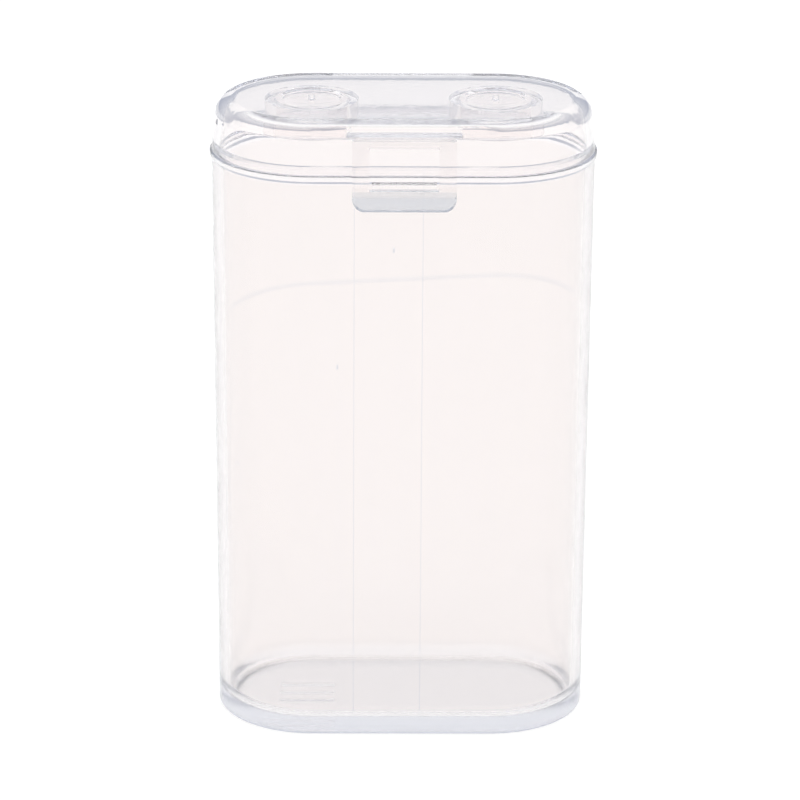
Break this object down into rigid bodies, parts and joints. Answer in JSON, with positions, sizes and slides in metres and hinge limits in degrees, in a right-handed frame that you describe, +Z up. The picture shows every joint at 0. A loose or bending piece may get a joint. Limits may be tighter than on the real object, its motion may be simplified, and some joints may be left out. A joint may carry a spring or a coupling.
{
  "type": "battery storage box",
  "caption": "Tall translucent case with round ends for a pair of round cells, with a hinged lid, locating rings and a snap latch flap.",
  "frame": {"origin": "middle of the flat base of the case, between the two cell places", "axes": "+Z up along the cells towards the lid, latch on the -Y side, X along the row of two cells"},
  "size_m": [0.043, 0.0255, 0.0725],
  "materials": {
    "case_plastic": "natural milky polypropylene, moulded, semi-gloss",
    "lid_plastic": "natural milky polypropylene, moulded, glossy top",
    "latch_plastic": "natural milky polypropylene, moulded, semi-gloss"
  },
  "bodies": {
    "case": {"case_body": "case_plastic"},
    "lid": {"lid": "lid_plastic"},
    "latch": {"latch": "latch_plastic"}
  },
  "joints": [
    {"name": "lid_hinge", "type": "hinge", "parent": "case", "child": "lid", "pos_m": [0, 0.0121, 0.0665], "axis": [-1, 0, 0], "range_deg": [0, 180]},
    {"name": "latch_hinge", "type": "hinge", "parent": "lid", "child": "latch", "pos_m": [0, -0.01167, 0.07088], "axis": [-1, 0, 0], "range_deg": [0, 105]}
  ]
}
